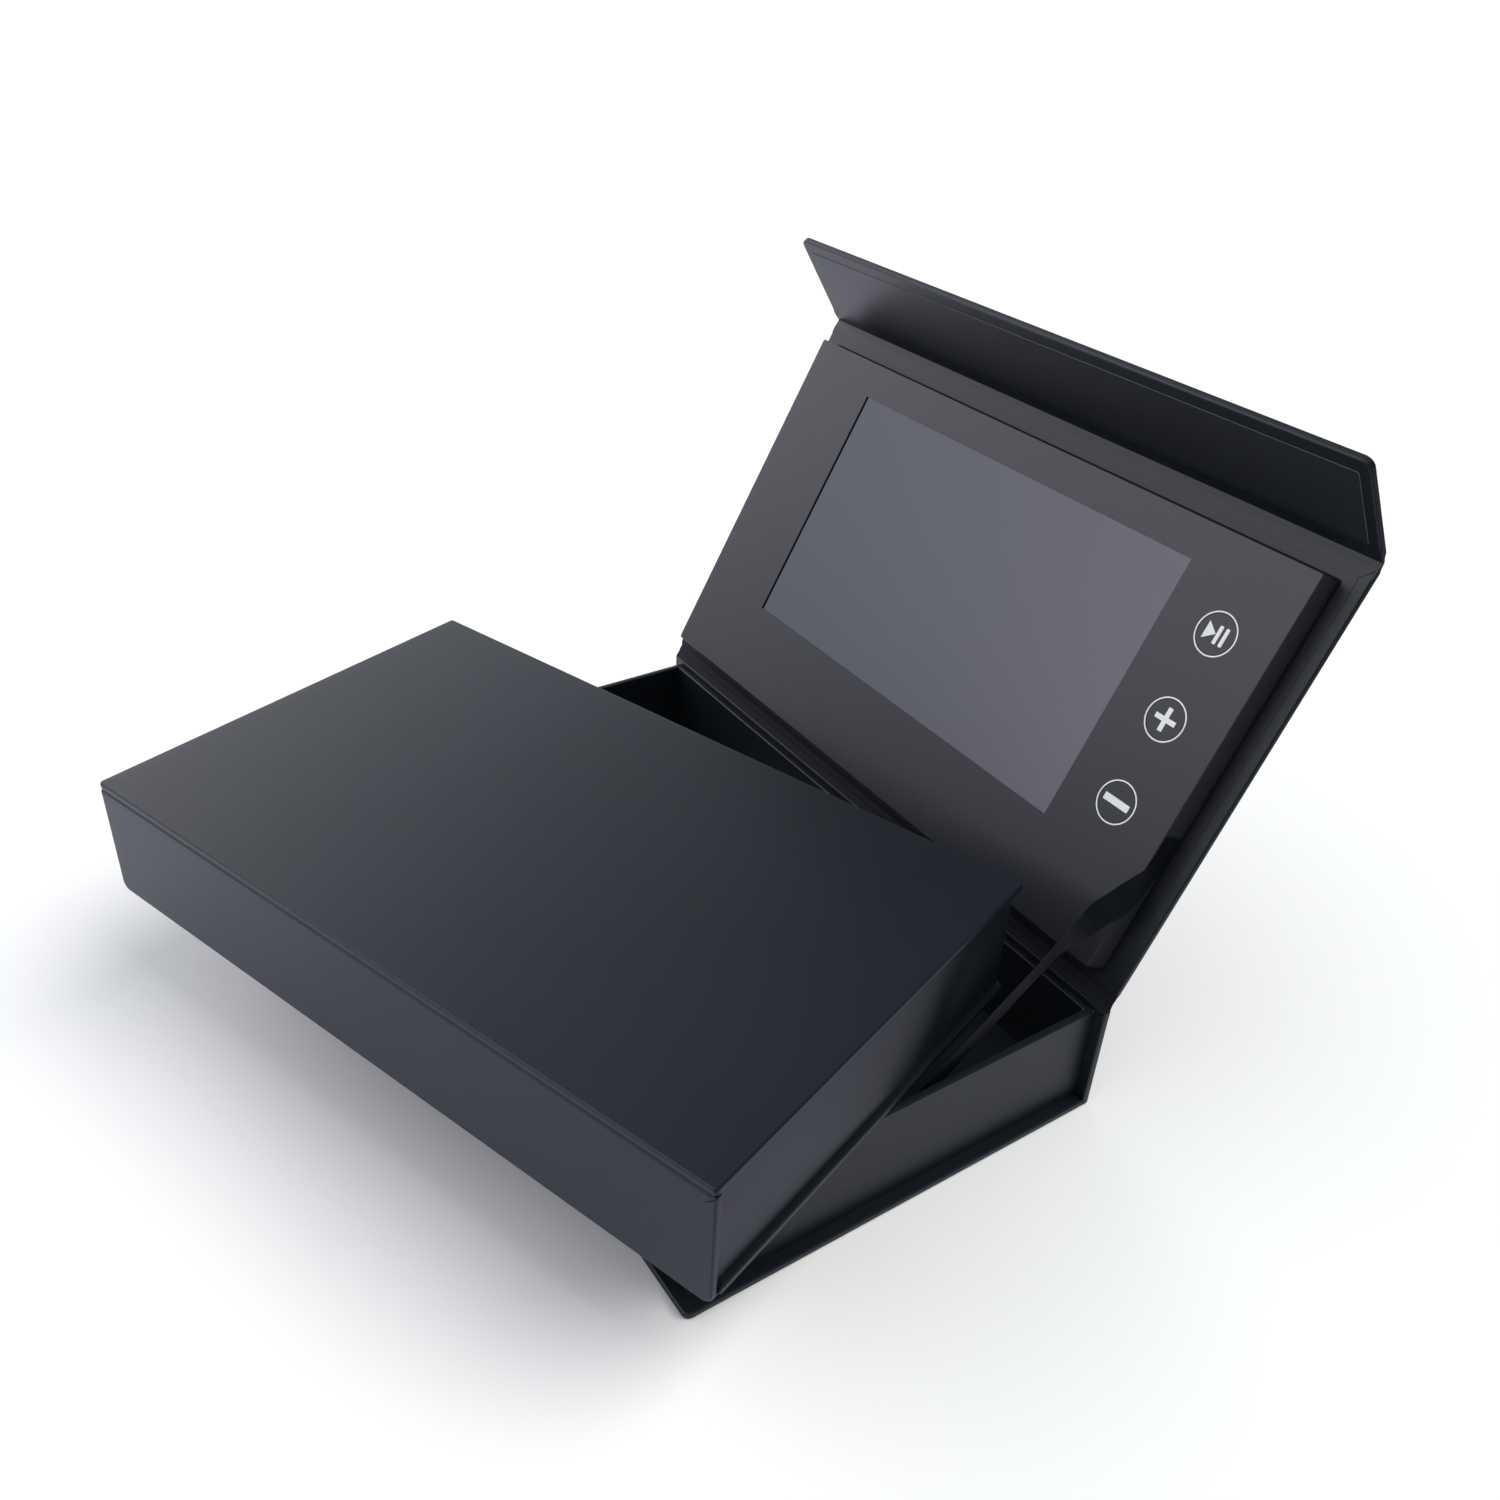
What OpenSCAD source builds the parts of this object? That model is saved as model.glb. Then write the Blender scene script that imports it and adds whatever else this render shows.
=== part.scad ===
// Presentation box with a video panel in its lid, standing open, and a loose inner box across its tray.
// Origin at the centre of the base's underside. X runs along the hinge, Y from the front to the hinge, Z up.

/* [Cover] */
// Thickness of the grey board
board_t = 2; // [1.6:0.1:2.4]
// Thickness of the wrapping paper
paper_t = 0.2; // [0.1:0.05:0.3]
// Wrapping paper that shows around each lining sheet
turn_in = 3.6; // [2:0.2:6]
// Radius of the boards' corners
corner_r = 1.5; // [0.6:0.1:3]
// Distance from a fold to the boards on both sides of it
crease = 2.8; // [2.4:0.1:4]
// Radius of the folded paper along a fold
fold_r = 0.6; // [0.4:0.1:0.8]

/* [Tray] */
// Step from the base's edge to the tray's wall
tray_inset = 3.9; // [3:0.1:6]
// Height of the tray's rim above the table
rim_z = 36.8; // [32:0.2:46]
// Depth of the paper turned down inside the rim
rim_turn = 12; // [6:1:20]

/* [Lid and flap] */
// Height of the hinge above the rim
hinge_rise = 4.6; // [3.6:0.2:6]
// Angle of the open lid above the horizontal, leaning back
lid_angle = 61.4; // [55:0.2:80]
// How far the fold of the flap stops short of the base's front edge
lid_short = 1.1; // [0.5:0.1:2]
// Inward fold of the flap out of the lid's plane
flap_fold = 61.3; // [30:0.1:85]
// Gap between the closed flap's tip and the base board
flap_gap = 0.4; // [0.3:0.1:1]

/* [Catch] */
// Distance of each flap magnet from the middle
magnet_x = 62; // [40:1:90]
// Distance of each flap magnet from the fold
magnet_s = 20; // [14:1:24]
// Diameter of the flap magnets and catch discs
magnet_d = 12; // [8:0.5:14]
// Thickness of the flap magnets
magnet_t = 1.4; // [1:0.1:1.5]
// Thickness of the catch discs
disc_t = 1; // [0.6:0.1:1.4]

/* [Panel] */
// Margin from the panel's side to the lid's side
panel_side = 8; // [6:0.5:12]
// Distance from the hinge to the panel's foot
panel_foot = 6.8; // [6:0.2:14]
// Distance from the panel's head to the fold of the flap
panel_head = 9.7; // [8:0.1:14]
// Height of the panel above the lid's lining
panel_t = 9; // [8.4:0.2:11]
// Thickness of the panel's face card
card_t = 0.8; // [0.5:0.1:1.2]
// Width of the screen window
window_w = 154.4; // [140:0.2:158]
// Height of the screen window
window_h = 87; // [80:0.5:90]
// Distance from the panel's left side to the window
window_left = 36; // [33:0.5:42]
// Distance from the window to the panel's right side
window_right = 38.6; // [36:0.2:44]
// Distance from the window to the panel's head
window_head = 11.9; // [10.5:0.1:16]
// Distance from the panel's foot to the window
window_foot = 29.5; // [24:0.1:34]

/* [Buttons] */
// Diameter of the button discs
button_d = 12.2; // [9:0.2:13]
// Spacing of the buttons
button_pitch = 27.9; // [20:0.1:29]
// Distance from the panel's right side to the buttons
button_side = 19.2; // [17:0.2:20]
// Gap round each button
button_gap = 0.2; // [0.15:0.05:0.4]
// Travel of each button
button_travel = 0.4; // [0.2:0.1:0.5]

/* [Electronics] */
// Border of the display module round the window
lcd_border = 5.2; // [4:0.2:6]
// Thickness of the display glass
glass_t = 1.1; // [0.8:0.1:1.4]
// Thickness of the backlight
backlight_t = 2.6; // [2:0.1:3]
// Thickness of the circuit boards
pcb_t = 1; // [0.8:0.1:1.2]
// Width of the battery
battery_w = 70; // [50:1:72]
// Depth of the battery
battery_d = 46; // [30:1:48]
// Thickness of the battery
battery_t = 3.6; // [2.5:0.1:3.8]
// Width of the main board
main_w = 84; // [60:1:90]
// Depth of the main board
main_d = 30; // [24:1:32]
// Width of the speaker
speaker_w = 19; // [14:0.5:20]
// Depth of the speaker
speaker_d = 36; // [24:1:38]
// Thickness of the speaker
speaker_t = 4; // [3:0.2:5]
// Thickness of the flat cables
cable_t = 0.3; // [0.2:0.1:0.4]

/* [Ribbon] */
// Width of the stay ribbon
ribbon_w = 8; // [5:0.5:9]
// Thickness of the stay ribbon
ribbon_t = 0.4; // [0.3:0.1:0.6]
// Distance from the hinge to where the ribbon leaves the lid
ribbon_s = 26; // [20:1:32]
// Distance from the hinge forward to where the ribbon meets the tray's wall
ribbon_back = 86; // [80:1:96]
// Depth of the ribbon's end below the rim
ribbon_drop = 16.8; // [14:0.2:20]

/* [Inner box] */
// How much narrower the inner box is than the cover
box_narrow = 8; // [4:0.5:14]
// How much shallower the inner box is than the base
box_shallow = 5; // [3:0.5:10]
// Height of the inner box
box_h = 40.4; // [34:0.2:44]
// Turn of the inner box on the tray
box_turn = 19; // [15:0.5:22]
// Middle of the inner box, along the hinge
box_x = 8.3; // [4:0.1:10]
// Middle of the inner box, front to back
box_y = -51.8; // [-58:0.1:-50]
// Step from the inner box's end to its tray
box_recess = 1.8; // [1.2:0.1:3]
// Seam between the inner box's top and its front
box_seam = 0.5; // [0.4:0.1:0.8]
// Groove between the inner box's front and its bottom
box_groove = 1.4; // [1:0.1:2]

/* [Hidden] */
$fn = 48;

// A wrapped board is the grey board with paper on both faces
wrap_t = board_t + 2 * paper_t;
half_t = wrap_t / 2;
skin = paper_t + board_t;

// The panel is sized round the screen, and the cover round the panel
panel_w = window_left + window_w + window_right;
panel_d = window_foot + window_h + window_head;
cover_w = panel_w + 2 * panel_side;
lid_d = panel_foot + panel_d + panel_head;
base_d = lid_d + lid_short;
hinge_z = rim_z + hinge_rise;
spine_h = hinge_z - crease;
lid_board_d = lid_d - 2 * crease;
flap_l = hinge_z - wrap_t - flap_gap;
flap_board_l = flap_l - crease;
// Running gap of the folded paper
fold_gap = 0.3;
// Overlap that fuses pieces of one sheet
fuse = 0.05;
// Cuts reach past a face by this much
over = 1;
// Clearance round a disc set into a board
disc_gap = 0.1;
// Air between two pieces that are stacked but not glued
rest_gap = 0.1;

// Tray
tray_x = cover_w / 2 - tray_inset;
tray_y0 = -base_d / 2 + tray_inset;
tray_y1 = base_d / 2 - wrap_t;
tray_w = 2 * tray_x;
tray_d = tray_y1 - tray_y0;
wall_z0 = wrap_t + board_t;
wall_h = rim_z - paper_t - wall_z0;

// Panel on the lid. Its height is measured from the middle of the lid's board
panel_n0 = half_t;
panel_n1 = half_t + panel_t;
card_n0 = panel_n1 - paper_t - card_t;
window_x = -panel_w / 2 + window_left + window_w / 2;
window_s = panel_foot + window_foot + window_h / 2;
button_x = panel_w / 2 - button_side;

// Display module, with a strip for its connector at the foot and the head
module_strip = 1;
lcd_w = window_w + 2 * lcd_border;
lcd_h = window_h + 2 * lcd_border + 2 * module_strip;
glass_n1 = card_n0 - rest_gap;
backlight_n1 = glass_n1 - glass_t;
backlight_n0 = backlight_n1 - backlight_t;
pcb_n1 = panel_n0 + pcb_t;
pocket_gap = 0.4;
lcd_x0 = window_x - lcd_w / 2;
lcd_x1 = window_x + lcd_w / 2;
lcd_s0 = window_s - lcd_h / 2;
lcd_s1 = window_s + lcd_h / 2;

// Buttons and the tact switches under them
flange_d = button_d + 2;
flange_t = 0.6;
flange_n1 = card_n0 - rest_gap;
stem_d = 3.6;
switch_body = 6;
switch_body_h = 3.4;
switch_stem_d = 3.4;
stem_l = 0.5;
switch_n1 = flange_n1 - flange_t - stem_l - button_travel - rest_gap;

// Key board, with room for the reed switch at its foot
key_w = 18;
key_foot = 18;
key_head = 9;
key_s0 = window_s - button_pitch - key_foot;
key_s1 = window_s + button_pitch + key_head;
reed_d = 2;
reed_l = 12;
reed_s = key_s0 + 5;

// Magnet in the tray's wall that works the reed switch of the closed lid
switch_y = base_d / 2 - reed_s;
switch_depth = 6;
switch_z = rim_z - switch_depth;
switch_d = 6;
switch_t = 1.2;

// Main board, battery and pads behind the display
pad_w = 12;
pad_edge = 2;
board_edge = 6;
main_left = 24.4;
main_x0 = lcd_x0 + main_left;
main_s0 = lcd_s0 + board_edge;
battery_x0 = main_x0;
battery_s0 = main_s0 + main_d + board_edge;
chip_w = 12;
chip_t = 1.2;
chip_left = 8;
lead_r = 0.6;
lead_left = 5;
lead_pitch = 3;
lead_lap = 4;

// Flat cable from the display's underside, folded round on to the main board
tail_w = 24;
tail_l = 5;
tail_out = 3;

// Pieces at the panel's left side
cable_w = 6;
speaker_left = 5.5;
speaker_cone_edge = 1.5;
speaker_cone_rise = 0.6;
speaker_x0 = -panel_w / 2 + speaker_left;
speaker_s0 = window_s + 4;
speaker_cable_x = main_x0 - 10;
speaker_cable_s = speaker_s0 + cable_w;
usb_w = 16;
usb_d = 14;
usb_left = 5;
usb_x0 = -panel_w / 2 + usb_left;
usb_s = main_s0 + main_d / 2;
socket_w = 7.5;
socket_l = 9.4;
socket_hole = 5.4;
socket_h = 2.6;
socket_wall = 0.35;
socket_back = 0.3;
socket_gap = 0.1;

// Ribbon: its upper stretch leaves the panel's side and its lower one ends on the tray's wall.
// They meet side by side
ribbon_tail = 18;
ribbon_forward = 38;
ribbon_rise = 3.6;
ribbon_x0 = panel_w / 2 + ribbon_t / 2;
ribbon_x1 = tray_x - skin - paper_t - ribbon_t / 2;
ribbon_n = panel_n0 + panel_t / 2;
ribbon_foot = [base_d / 2 - ribbon_back, rim_z - ribbon_drop];
ribbon_meet = [base_d / 2 - ribbon_forward, hinge_z + ribbon_rise];
// The meeting point in the lid's own frame
ribbon_meet_lid = [
    ribbon_rise * sin(lid_angle) - ribbon_forward * cos(lid_angle),
    ribbon_rise * cos(lid_angle) + ribbon_forward * sin(lid_angle)
];

// Inner box
box_w = cover_w - box_narrow;
box_d = base_d - box_shallow;
box_z = rim_z + rest_gap;
seam_z = box_h - wrap_t - box_seam;
box_y0 = wrap_t;
box_y1 = box_d - box_recess;
box_wall_z0 = wrap_t + board_t;
box_wall_z1 = box_h - wrap_t - rest_gap;
box_wall_h = box_wall_z1 - paper_t - box_wall_z0;
box_bottom_y = wrap_t + box_groove;
box_bottom_d = box_d - box_bottom_y;
box_tray_w = box_w - 2 * box_recess;
box_tray_d = box_y1 - box_y0;
// Radius of the folded paper in the seam, which is the hinge of the top board
seam_r = 0.2;
box_hinge_z = seam_z + box_seam / 2;

// Colours
wrap_black = "#2b2e33";
lining_black = "#1d2027";
grey_board = "#8d8a84";
face_black = "#4a4b50";

// Shared shapes

// A flat plate with round corners, lower left corner at the origin
module plate(w, d, t, r = corner_r) {
    linear_extrude(t) {
        translate([r, 0]) square([w - 2 * r, d]);
        translate([0, r]) square([w, d - 2 * r]);
        for (x = [r, w - r])
            for (y = [r, d - r])
                translate([x, y]) circle(r);
    }
}

// Paper round a board, as a shell that is open over a window in its upper face
module wrap(w, d, open) {
    difference() {
        plate(w, d, wrap_t);
        translate([paper_t, paper_t, paper_t])
            plate(w - 2 * paper_t, d - 2 * paper_t, board_t, corner_r - paper_t);
        translate([open, open, wrap_t - paper_t - fuse])
            cube([w - 2 * open, d - 2 * open, paper_t + over]);
    }
}

// The same shell with its window in the lower face
module wrap_from_below(w, d) {
    translate([0, 0, wrap_t]) mirror([0, 0, 1]) wrap(w, d, turn_in);
}

// The grey board that fills a wrap
module core(w, d) {
    translate([paper_t, paper_t, paper_t])
        plate(w - 2 * paper_t, d - 2 * paper_t, board_t, corner_r - paper_t);
}

// The lining sheet that closes the wrap's window
module lining(w, d, open) {
    translate([open, open, wrap_t - paper_t])
        cube([w - 2 * open, d - 2 * open, paper_t]);
}

// The place of a board that starts at the distance s0 from its fold, with the fold at mid thickness
module on_fold(s0) {
    translate([-cover_w / 2, s0, -half_t]) children();
}

// The strip of folded paper between two distances from a fold
module fold_strip(s0, s1) {
    translate([-cover_w / 2, s0, -fold_gap]) cube([cover_w, s1 - s0, 2 * fold_gap]);
}

// The lid's own frame: Y is the distance from the hinge and Z points in front of the lid
module on_lid() {
    translate([0, base_d / 2, hinge_z]) rotate([lid_angle, 0, 0]) children();
}

// The flap's own frame, on the fold at the lid's far edge
module on_flap() {
    on_lid() translate([0, lid_d, 0]) rotate([flap_fold, 0, 0]) children();
}

// The inner box's own frame, with its front left lower corner at the origin
module on_box() {
    translate([box_x, box_y, box_z]) rotate([0, 0, box_turn])
        translate([-box_w / 2, -box_d / 2, 0]) children();
}

// A rod along X, centred
module rod(r, l) {
    rotate([0, 90, 0]) cylinder(r = r, h = l, center = true);
}

// The four walls of a tray, each from corner to corner or between two others
module long_wall(w, h) {
    cube([w, board_t, h]);
}

module side_wall(d, h) {
    cube([board_t, d, h]);
}

// Paper round a tray's walls, over the rim and down inside
module rim_paper(w, d, h, turn) {
    difference() {
        cube([w, d, h]);
        translate([paper_t, paper_t, -over]) difference() {
            cube([w - 2 * paper_t, d - 2 * paper_t, h - paper_t + over]);
            translate([board_t, board_t, h - paper_t - turn + over])
                cube([w - 2 * paper_t - 2 * board_t, d - 2 * paper_t - 2 * board_t, turn + over]);
        }
        translate([skin + paper_t, skin + paper_t, -over])
            cube([w - 2 * skin - 2 * paper_t, d - 2 * skin - 2 * paper_t, h + 2 * over]);
    }
}

// Paper that lines a tray's floor and walls below the paper of the rim
module tray_paper(w, d, h) {
    difference() {
        cube([w, d, h]);
        translate([paper_t, paper_t, paper_t])
            cube([w - 2 * paper_t, d - 2 * paper_t, h]);
    }
}

// Cover: base and spine

module base_board() {
    color(grey_board) translate([-cover_w / 2, -base_d / 2, 0]) core(cover_w, base_d - wrap_t);
}

module base_wrap() {
    color(wrap_black) translate([-cover_w / 2, -base_d / 2, 0])
        wrap(cover_w, base_d - wrap_t, tray_inset + turn_in);
}

// The spine stands on the base's level behind the tray, its outer face level with the hinge
module on_spine() {
    translate([-cover_w / 2, base_d / 2 - wrap_t, 0]) rotate([90, 0, 0]) mirror([0, 0, 1]) children();
}

module spine_board() {
    color(grey_board) on_spine() core(cover_w, spine_h);
}

module spine_wrap() {
    color(wrap_black) {
        on_spine() wrap_from_below(cover_w, spine_h);
        translate([-cover_w / 2, base_d / 2 - fold_r, spine_h - fuse])
            cube([cover_w, fold_r, crease + fuse]);
        translate([0, base_d / 2, hinge_z]) rod(fold_r, cover_w);
    }
}

// Tray

module in_tray(z) {
    translate([-tray_x, tray_y0, z]) children();
}

module tray_floor() {
    color(grey_board) in_tray(wrap_t) translate([paper_t, paper_t, 0])
        cube([tray_w - 2 * paper_t, tray_d - 2 * paper_t, board_t]);
}

module tray_front_wall() {
    color(grey_board) difference() {
        in_tray(wall_z0) translate([paper_t, paper_t, 0]) long_wall(tray_w - 2 * paper_t, wall_h);
        for (side = [-1, 1])
            translate([side * magnet_x, tray_y0 + paper_t - over, hinge_z - magnet_s])
                rotate([-90, 0, 0]) cylinder(d = magnet_d + 2 * disc_gap, h = disc_t + over);
    }
}

module tray_rear_wall() {
    color(grey_board) in_tray(wall_z0) translate([paper_t, tray_d - skin, 0])
        long_wall(tray_w - 2 * paper_t, wall_h);
}

module tray_left_wall() {
    color(grey_board) in_tray(wall_z0) translate([paper_t, skin, 0]) side_wall(tray_d - 2 * skin, wall_h);
}

module tray_right_wall() {
    color(grey_board) difference() {
        in_tray(wall_z0) translate([tray_w - skin, skin, 0]) side_wall(tray_d - 2 * skin, wall_h);
        translate([tray_x - skin - over, switch_y, switch_z])
            rotate([0, 90, 0]) cylinder(d = switch_d + 2 * disc_gap, h = switch_t + over);
    }
}

module tray_wrap() {
    color(wrap_black) in_tray(wrap_t) rim_paper(tray_w, tray_d, rim_z - wrap_t, rim_turn);
}

module tray_liner() {
    color(lining_black) in_tray(wall_z0) translate([skin, skin, 0])
        tray_paper(tray_w - 2 * skin, tray_d - 2 * skin, wall_h - rim_turn);
}

module catch_discs() {
    color("silver") for (side = [-1, 1])
        translate([side * magnet_x, tray_y0 + paper_t, hinge_z - magnet_s])
            rotate([-90, 0, 0]) cylinder(d = magnet_d, h = disc_t);
}

module switch_magnet() {
    color("silver") translate([tray_x - skin, switch_y, switch_z])
        rotate([0, 90, 0]) cylinder(d = switch_d, h = switch_t);
}

// Stay ribbon, in two flat stretches that each lie in a plane across the hinge

// Half the ribbon's width, at right angles to its way from a to b
function across(a, b) = let(d = (b - a) / norm(b - a)) [-d[1], d[0]] * ribbon_w / 2;

// A flat band from the end of a tail to a bend and on to a free end
module band(tail, bend, free) {
    u = across(tail, bend);
    v = across(bend, free);
    mitre = (u + v) * (u * u) / (u * u + u * v);
    rotate([90, 0, 90]) linear_extrude(ribbon_t, center = true)
        polygon([tail + u, bend + mitre, free + v, free - v, bend - mitre, tail - u]);
}

module stay_ribbon_upper() {
    color("black") on_lid() translate([ribbon_x0, 0, 0])
        band([ribbon_s + ribbon_tail, ribbon_n], [ribbon_s, ribbon_n], ribbon_meet_lid);
}

module stay_ribbon_lower() {
    color("black") translate([ribbon_x1, 0, 0])
        band(ribbon_foot - [ribbon_tail, 0], ribbon_foot, ribbon_meet);
}

// Lid

module lid_board() {
    color(grey_board) on_lid() on_fold(crease) core(cover_w, lid_board_d);
}

module lid_wrap() {
    color(wrap_black) on_lid() {
        on_fold(crease) wrap(cover_w, lid_board_d, turn_in);
        fold_strip(fold_r + fold_gap, crease + fuse);
        fold_strip(lid_d - crease - fuse, lid_d);
        translate([0, lid_d, 0]) rod(fold_r, cover_w);
    }
}

module lid_lining() {
    color(lining_black) on_lid() on_fold(crease) lining(cover_w, lid_board_d, turn_in);
}

// Panel

// Cuts for the screen window and the buttons, through whatever lies between two heights
module face_cuts(n0, n1, hole_d) {
    translate([window_x - window_w / 2, window_s - window_h / 2, n0]) cube([window_w, window_h, n1 - n0]);
    for (k = [-1, 0, 1])
        translate([button_x, window_s + k * button_pitch, n0]) cylinder(d = hole_d, h = n1 - n0);
}

// A pocket through the panel's core
module pocket(x0, s0, w, d) {
    translate([x0 - pocket_gap, s0 - pocket_gap, panel_n0 - over])
        cube([w + 2 * pocket_gap, d + 2 * pocket_gap, panel_t + 2 * over]);
}

// A groove under the panel's core for a flat cable
module cable_groove(x0, x1, s) {
    translate([x0, s - cable_w / 2 - pocket_gap, panel_n0 - over])
        cube([x1 - x0, cable_w + 2 * pocket_gap, over + 2 * cable_t]);
}

module panel_core() {
    color("#34363a") on_lid() difference() {
        translate([-panel_w / 2 + paper_t, panel_foot + paper_t, panel_n0])
            cube([panel_w - 2 * paper_t, panel_d - 2 * paper_t, card_n0 - panel_n0]);
        pocket(lcd_x0, lcd_s0, lcd_w, lcd_h);
        pocket(button_x - key_w / 2, key_s0, key_w, key_s1 - key_s0);
        pocket(speaker_x0, speaker_s0, speaker_w, speaker_d);
        pocket(usb_x0, usb_s - usb_d / 2, usb_w, usb_d);
        translate([-panel_w / 2 - over, usb_s - socket_w / 2 - socket_gap, panel_n0 - over])
            cube([usb_w, socket_w + 2 * socket_gap, over + pcb_t + socket_h + socket_gap]);
        cable_groove(usb_x0, lcd_x0, usb_s);
        cable_groove(speaker_x0 + speaker_w / 2, lcd_x0, speaker_s0 + cable_w);
        cable_groove(lcd_x1, button_x, usb_s);
    }
}

module panel_card() {
    color("#303236") on_lid() difference() {
        translate([-panel_w / 2 + paper_t, panel_foot + paper_t, card_n0])
            cube([panel_w - 2 * paper_t, panel_d - 2 * paper_t, card_t]);
        face_cuts(card_n0 - over, panel_n1, button_d + 2 * button_gap);
    }
}

module panel_wrap() {
    color(face_black) on_lid() difference() {
        translate([-panel_w / 2, panel_foot, panel_n0]) cube([panel_w, panel_d, panel_t]);
        translate([-panel_w / 2 + paper_t, panel_foot + paper_t, panel_n0 - over])
            cube([panel_w - 2 * paper_t, panel_d - 2 * paper_t, panel_t + over - paper_t]);
        face_cuts(card_n0, panel_n1 + over, button_d + 2 * button_gap);
        translate([-panel_w / 2 - over, usb_s - socket_w / 2 - socket_gap, pcb_n1 - socket_gap])
            cube([2 * over, socket_w + 2 * socket_gap, socket_h + 2 * socket_gap]);
    }
}

// Display

module lcd_glass() {
    color("#62646b") on_lid() translate([lcd_x0, lcd_s0, backlight_n1]) cube([lcd_w, lcd_h, glass_t]);
}

module lcd_backlight() {
    color("silver") on_lid() translate([lcd_x0, lcd_s0, backlight_n0]) cube([lcd_w, lcd_h, backlight_t]);
}

module backlight_pads() {
    color("dimgray") on_lid()
        for (x = [lcd_x0 + pad_edge, lcd_x1 - pad_edge - pad_w])
            for (s = [lcd_s0 + pad_edge, lcd_s1 - pad_edge - pad_w])
                translate([x, s, panel_n0]) cube([pad_w, pad_w, backlight_n0 - panel_n0]);
}

// Circuit boards, battery and speaker

module main_board() {
    color("darkgreen") on_lid() translate([main_x0, main_s0, panel_n0]) {
        cube([main_w, main_d, pcb_t]);
        for (k = [0, 1, 2])
            translate([chip_left + k * main_w / 4, (main_d - chip_w) / 2, pcb_t - fuse])
                cube([chip_w, chip_w, chip_t + fuse]);
    }
}

module battery() {
    color("silver") on_lid() translate([battery_x0, battery_s0, panel_n0])
        cube([battery_w, battery_d, battery_t]);
}

module battery_lead() {
    color("crimson") on_lid()
        for (k = [0, 1])
            translate([battery_x0 + lead_left + lead_pitch * k, battery_s0, pcb_n1 + lead_r])
                rotate([90, 0, 0]) cylinder(r = lead_r, h = board_edge + lead_lap, $fn = 24);
}

module speaker() {
    color("#222428") on_lid() translate([speaker_x0, speaker_s0, panel_n0]) {
        cube([speaker_w, speaker_d, speaker_t - speaker_cone_rise]);
        translate([speaker_w / 2, speaker_d / 2, 0])
            cylinder(d = speaker_w - 2 * speaker_cone_edge, h = speaker_t);
    }
}

module speaker_cable() {
    color("#d8d8d0") on_lid() translate([0, 0, panel_n0]) {
        translate([speaker_x0 + speaker_w, speaker_cable_s - cable_w / 2, 0])
            cube([speaker_cable_x + cable_w - speaker_x0 - speaker_w, cable_w, cable_t]);
        translate([speaker_cable_x, main_s0 + main_d - cable_w, 0])
            cube([cable_w, speaker_cable_s - main_s0 - main_d + cable_w, cable_t]);
        translate([speaker_cable_x, main_s0 + main_d - cable_w, 0])
            cube([main_x0 - speaker_cable_x, cable_w, cable_t]);
    }
}

module key_board() {
    color("darkgreen") on_lid() translate([button_x - key_w / 2, key_s0, panel_n0])
        cube([key_w, key_s1 - key_s0, pcb_t]);
}

module key_switches() {
    color("#303030") on_lid()
        for (k = [-1, 0, 1])
            translate([button_x, window_s + k * button_pitch, pcb_n1]) {
                translate([-switch_body / 2, -switch_body / 2, 0])
                    cube([switch_body, switch_body, switch_body_h]);
                cylinder(d = switch_stem_d, h = switch_n1 - pcb_n1);
            }
}

module key_cable() {
    color("#d8d8d0") on_lid() translate([main_x0 + main_w, usb_s - cable_w / 2, panel_n0])
        cube([button_x - key_w / 2 - main_x0 - main_w, cable_w, cable_t]);
}

module display_cable() {
    color("#c98a3a") on_lid() translate([main_x0 + main_w / 2, main_s0 - tail_out, pcb_n1]) {
        translate([0, 0, backlight_n0 - pcb_n1 - cable_t]) cube([tail_w, tail_out + tail_l, cable_t]);
        cube([tail_w, cable_t, backlight_n0 - pcb_n1]);
        cube([tail_w, tail_out + tail_l, cable_t]);
    }
}

module usb_board() {
    color("darkgreen") on_lid() translate([usb_x0, usb_s - usb_d / 2, panel_n0]) cube([usb_w, usb_d, pcb_t]);
}

module usb_socket() {
    color("silver") on_lid() translate([-panel_w / 2 + socket_back, usb_s - socket_w / 2, pcb_n1])
        difference() {
            cube([socket_l, socket_w, socket_h]);
            translate([-over, socket_wall, socket_wall])
                cube([socket_hole + over, socket_w - 2 * socket_wall, socket_h - 2 * socket_wall]);
        }
}

module usb_cable() {
    color("#d8d8d0") on_lid() translate([usb_x0 + usb_w, usb_s - cable_w / 2, panel_n0])
        cube([main_x0 - usb_x0 - usb_w, cable_w, cable_t]);
}

module reed_switch() {
    color("#b8c4c8") on_lid() translate([button_x, reed_s, pcb_n1 + reed_d / 2]) rod(reed_d / 2, reed_l);
}

// Buttons: a disc level with the panel's face, a flange behind the card and a stem over the switch

module button(k) {
    color("#45464b") on_lid() translate([button_x, window_s + k * button_pitch, 0]) {
        translate([0, 0, flange_n1 - fuse]) cylinder(d = button_d, h = panel_n1 - flange_n1 + fuse);
        translate([0, 0, flange_n1 - flange_t]) cylinder(d = flange_d, h = flange_t);
        translate([0, 0, flange_n1 - flange_t - stem_l]) cylinder(d = stem_d, h = stem_l + flange_t);
    }
}

module play_button() {
    button(1);
}

module plus_button() {
    button(0);
}

module minus_button() {
    button(-1);
}

// Flap

module flap_board() {
    color(grey_board) on_flap() difference() {
        on_fold(crease) core(cover_w, flap_board_l);
        for (side = [-1, 1])
            translate([side * magnet_x, magnet_s, half_t - paper_t - magnet_t])
                cylinder(d = magnet_d + 2 * disc_gap, h = magnet_t + over);
    }
}

module flap_wrap() {
    color(wrap_black) on_flap() {
        on_fold(crease) wrap(cover_w, flap_board_l, turn_in);
        fold_strip(fold_r + fold_gap, crease + fuse);
    }
}

module flap_lining() {
    color(lining_black) on_flap() on_fold(crease) lining(cover_w, flap_board_l, turn_in);
}

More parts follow.
